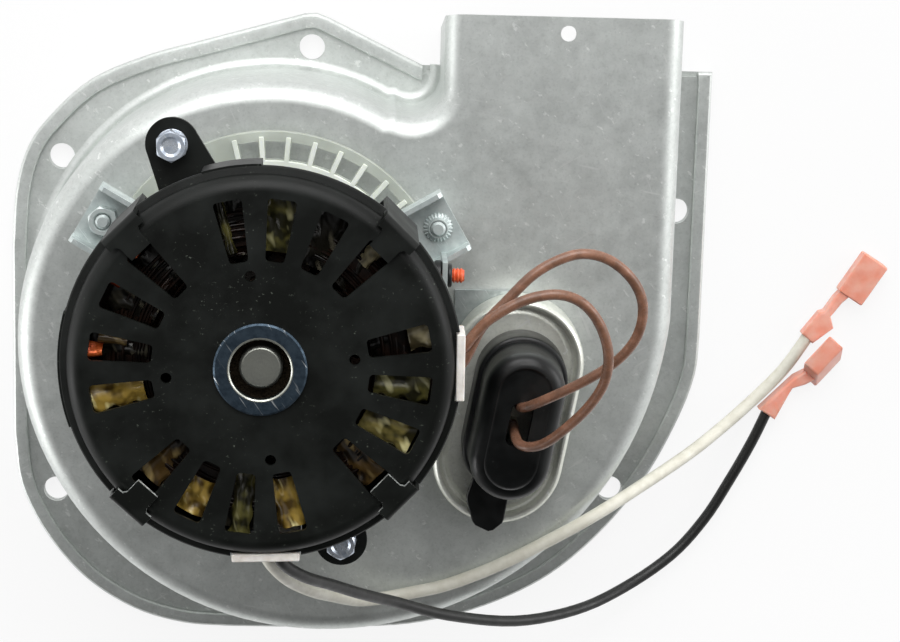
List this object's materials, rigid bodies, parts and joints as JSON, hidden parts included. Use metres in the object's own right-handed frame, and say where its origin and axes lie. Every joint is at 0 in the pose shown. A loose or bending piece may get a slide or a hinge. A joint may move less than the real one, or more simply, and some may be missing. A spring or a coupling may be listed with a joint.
{
  "type": "combustion fan",
  "caption": "Centrifugal draft inducer: sheet-metal scroll housing on a hemmed back plate, with a motor on a three-arm spider, a booted capacitor and two loose leads.",
  "frame": {"origin": "middle of the back plate's underside: the centre of the plan rectangle that holds the flange and the outlet, without the loose leads", "axes": "+Z along the motor shaft away from the back plate, +Y out of the outlet, +X along the plate's long side, towards the outlet's side"},
  "size_m": [0.2269, 0.1667, 0.1134],
  "materials": {
    "aluminised_sheet": "aluminised drawn sheet steel, satin, with brighter worn edges",
    "galvanised_sheet": "galvanised pressed sheet steel",
    "zinc_plate": "clear zinc plate on steel",
    "blue_zinc": "blue-grey zinc plate on steel",
    "shaft_steel": "ground steel",
    "core_steel": "stacked silicon steel laminations",
    "black_enamel": "satin black enamel on drawn steel",
    "winding_copper": "varnished enamelled copper wire",
    "sintered_bronze": "oil-filled sintered bronze",
    "natural_plastic": "undyed translucent moulded plastic",
    "white_nylon": "white moulded nylon",
    "boot_rubber": "glossy black moulded rubber",
    "orange_lacquer": "orange lacquer on steel",
    "tinned_brass": "tin-plated brass",
    "pink_sleeve": "translucent salmon nylon",
    "brown_insulation": "brown lead insulation",
    "black_insulation": "black lead insulation",
    "white_insulation": "white lead insulation"
  },
  "bodies": {
    "housing": {"back_plate": "aluminised_sheet", "bearing_washer": "blue_zinc", "black_lead": "black_insulation", "black_lead_receptacle": "tinned_brass", "black_lead_sleeve": "pink_sleeve", "brown_lead_inner": "brown_insulation", "brown_lead_outer": "brown_insulation", "capacitor_boot": "boot_rubber", "capacitor_bracket": "zinc_plate", "capacitor_can": "aluminised_sheet", "capacitor_terminal_1": "tinned_brass", "capacitor_terminal_2": "tinned_brass", "ear_nut_1": "zinc_plate", "ear_nut_2": "zinc_plate", "ear_screw_1": "zinc_plate", "ear_screw_2": "zinc_plate", "lead_bushing_bottom": "white_nylon", "lead_bushing_right": "white_nylon", "lower_bearing": "sintered_bronze", "lower_end_shell": "black_enamel", "motor_spider": "zinc_plate", "scroll_housing": "aluminised_sheet", "spider_nut_1": "zinc_plate", "spider_nut_2": "zinc_plate", "spider_nut_3": "zinc_plate", "spider_stud_1": "zinc_plate", "spider_stud_2": "zinc_plate", "spider_stud_3": "zinc_plate", "stator_core": "core_steel", "strap_screw": "orange_lacquer", "upper_bearing": "sintered_bronze", "upper_end_shell": "black_enamel", "white_lead": "white_insulation", "white_lead_receptacle": "tinned_brass", "white_lead_sleeve": "pink_sleeve", "winding_lower": "winding_copper", "winding_upper": "winding_copper"},
    "rotor": {"shaft": "shaft_steel", "rotor_core": "core_steel", "impeller": "galvanised_sheet", "impeller_hub": "shaft_steel", "hub_set_screw": "shaft_steel", "cooling_fan": "natural_plastic", "thrust_collar_lower": "shaft_steel", "thrust_collar_upper": "shaft_steel"}
  },
  "joints": [
    {"name": "rotor_spin", "type": "hinge", "parent": "housing", "child": "rotor", "pos_m": [-0.02095, 0.01205, 0.06], "axis": [0, 0, 1], "continuous": true}
  ]
}
